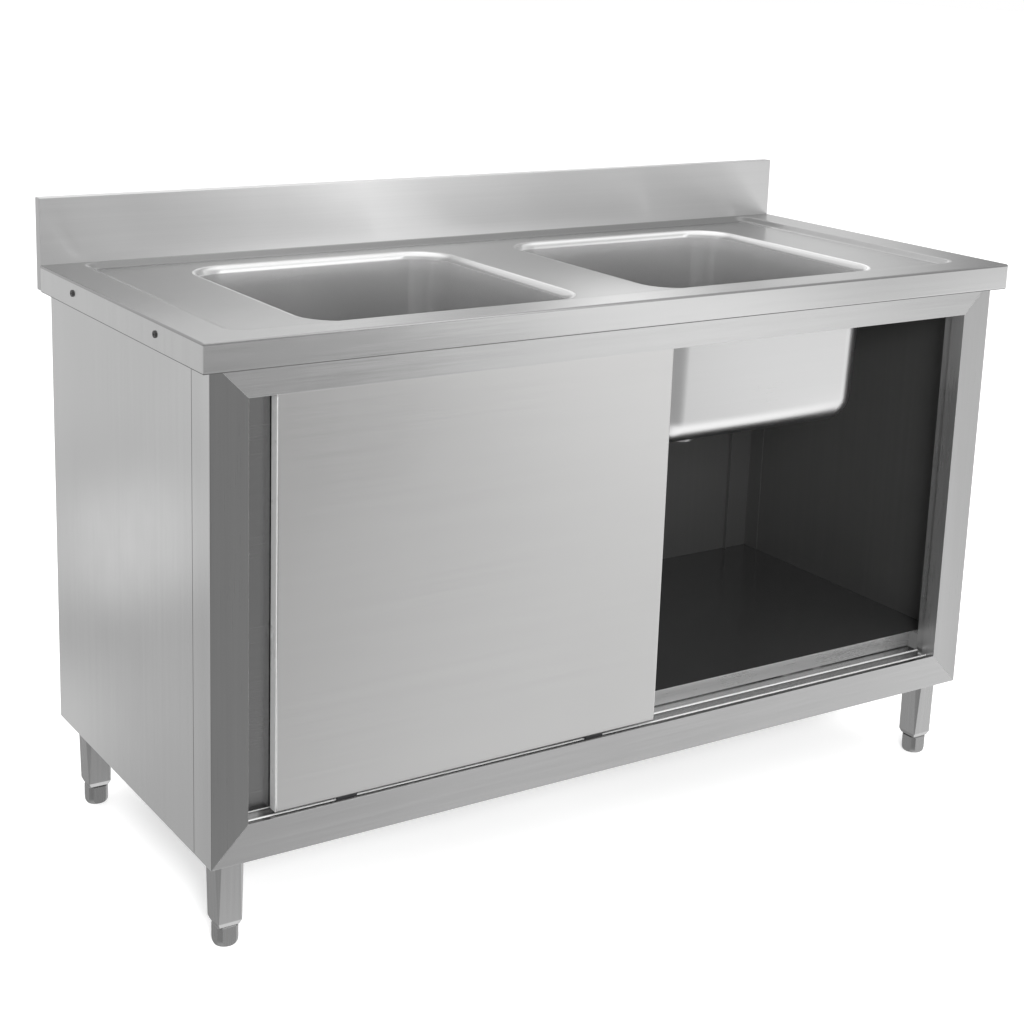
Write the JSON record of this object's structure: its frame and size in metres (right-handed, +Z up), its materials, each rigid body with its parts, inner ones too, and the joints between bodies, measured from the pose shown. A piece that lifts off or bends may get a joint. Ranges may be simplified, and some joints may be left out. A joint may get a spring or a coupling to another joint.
{
  "type": "kitchen sink unit",
  "caption": "Free-standing stainless steel sink unit: recessed worktop with upstand and pressed bowls over a cupboard closed by sliding doors, on adjustable legs.",
  "frame": {"origin": "on the floor, under the middle of the worktop in length and depth", "axes": "+X to the right along the worktop as seen from the front, +Y to the rear (towards the wall), +Z up"},
  "size_m": [1.4044, 0.6, 0.95],
  "materials": {
    "worktop_steel": "brushed stainless steel, grain along the length",
    "bowl_steel": "pressed stainless steel, satin",
    "frame_steel": "brushed stainless steel, grain along each member",
    "panel_steel": "smooth satin stainless steel",
    "door_steel": "brushed stainless steel, upright grain",
    "inner_steel": "plain mill-finish stainless steel",
    "leg_steel": "satin stainless steel",
    "foot_steel": "satin stainless steel",
    "waste_steel": "polished stainless steel",
    "zinc_fixings": "bright zinc plated steel",
    "seal_rubber": "black moulded rubber",
    "waste_plastic": "white moulded plastic",
    "roller_nylon": "natural nylon"
  },
  "bodies": {
    "sink_unit": {"worktop": "worktop_steel", "worktop_stiffeners": "inner_steel", "left_bowl": "bowl_steel", "right_bowl": "bowl_steel", "front_left_post": "frame_steel", "front_right_post": "frame_steel", "front_top_rail": "frame_steel", "front_bottom_rail": "frame_steel", "rear_left_post": "inner_steel", "rear_right_post": "inner_steel", "rear_bottom_rail": "inner_steel", "rear_top_rail": "inner_steel", "back_panel": "panel_steel", "left_side_panel": "panel_steel", "right_side_panel": "panel_steel", "bottom_shelf": "panel_steel", "shelf_stiffeners": "inner_steel", "top_track": "inner_steel", "bottom_track": "inner_steel", "leg_plates": "inner_steel", "leg_bolts": "zinc_fixings", "worktop_screws": "zinc_fixings", "rivet_nuts": "zinc_fixings", "left_waste_fitting": "waste_steel", "left_upper_waste_seal": "seal_rubber", "left_lower_waste_seal": "seal_rubber", "left_waste_nut": "waste_plastic", "right_waste_fitting": "waste_steel", "right_upper_waste_seal": "seal_rubber", "right_lower_waste_seal": "seal_rubber", "right_waste_nut": "waste_plastic", "front_left_leg": "leg_steel", "front_right_leg": "leg_steel", "rear_left_leg": "leg_steel", "rear_right_leg": "leg_steel"},
    "front_door": {"front_door_skin": "door_steel", "front_door_liner": "door_steel", "front_door_hangers": "zinc_fixings", "front_door_axles": "zinc_fixings", "front_door_guides": "roller_nylon"},
    "rear_door": {"rear_door_skin": "door_steel", "rear_door_liner": "door_steel", "rear_door_hangers": "zinc_fixings", "rear_door_axles": "zinc_fixings", "rear_door_guides": "roller_nylon"},
    "front_door_left_roller": {"front_door_left_roller": "roller_nylon"},
    "front_door_right_roller": {"front_door_right_roller": "roller_nylon"},
    "rear_door_left_roller": {"rear_door_left_roller": "roller_nylon"},
    "rear_door_right_roller": {"rear_door_right_roller": "roller_nylon"},
    "front_left_foot": {"front_left_foot": "foot_steel"},
    "front_right_foot": {"front_right_foot": "foot_steel"},
    "rear_left_foot": {"rear_left_foot": "foot_steel"},
    "rear_right_foot": {"rear_right_foot": "foot_steel"},
    "left_plug": {"left_plug": "waste_steel"},
    "right_plug": {"right_plug": "waste_steel"}
  },
  "joints": [
    {"name": "front_door_slide", "type": "slide", "parent": "sink_unit", "child": "front_door", "axis": [1, 0, 0], "range_m": [-0.043, 0.579]},
    {"name": "front_door_left_roller_spin", "type": "hinge", "parent": "front_door", "child": "front_door_left_roller", "pos_m": [-0.496, -0.265, 0.80825], "axis": [0, 1, 0], "range_deg": [-226, 3018]},
    {"name": "front_door_right_roller_spin", "type": "hinge", "parent": "front_door", "child": "front_door_right_roller", "pos_m": [-0.04, -0.265, 0.80825], "axis": [0, 1, 0], "range_deg": [-226, 3018]},
    {"name": "rear_door_slide", "type": "slide", "parent": "sink_unit", "child": "rear_door", "axis": [1, 0, 0], "range_m": [-0.001, 0.631]},
    {"name": "rear_door_left_roller_spin", "type": "hinge", "parent": "rear_door", "child": "rear_door_left_roller", "pos_m": [-0.543, -0.245, 0.80825], "axis": [0, 1, 0], "range_deg": [-8, 3289]},
    {"name": "rear_door_right_roller_spin", "type": "hinge", "parent": "rear_door", "child": "rear_door_right_roller", "pos_m": [-0.087, -0.245, 0.80825], "axis": [0, 1, 0], "range_deg": [-8, 3289]},
    {"name": "front_left_foot_adjust", "type": "slide", "parent": "sink_unit", "child": "front_left_foot", "axis": [0, 0, -1], "range_m": [0, 0.025]},
    {"name": "front_right_foot_adjust", "type": "slide", "parent": "sink_unit", "child": "front_right_foot", "axis": [0, 0, -1], "range_m": [0, 0.025]},
    {"name": "rear_left_foot_adjust", "type": "slide", "parent": "sink_unit", "child": "rear_left_foot", "axis": [0, 0, -1], "range_m": [0, 0.025]},
    {"name": "rear_right_foot_adjust", "type": "slide", "parent": "sink_unit", "child": "rear_right_foot", "axis": [0, 0, -1], "range_m": [0, 0.025]},
    {"name": "left_plug_lift", "type": "slide", "parent": "sink_unit", "child": "left_plug", "axis": [0, 0, 1], "range_m": [0, 0.3]},
    {"name": "right_plug_lift", "type": "slide", "parent": "sink_unit", "child": "right_plug", "axis": [0, 0, 1], "range_m": [0, 0.3]}
  ],
  "couplings": [
    {"joint": "front_door_left_roller_spin", "follows": "front_door_slide", "rad_per_m": 90.909},
    {"joint": "front_door_right_roller_spin", "follows": "front_door_slide", "rad_per_m": 90.909},
    {"joint": "rear_door_left_roller_spin", "follows": "rear_door_slide", "rad_per_m": 90.909},
    {"joint": "rear_door_right_roller_spin", "follows": "rear_door_slide", "rad_per_m": 90.909}
  ]
}
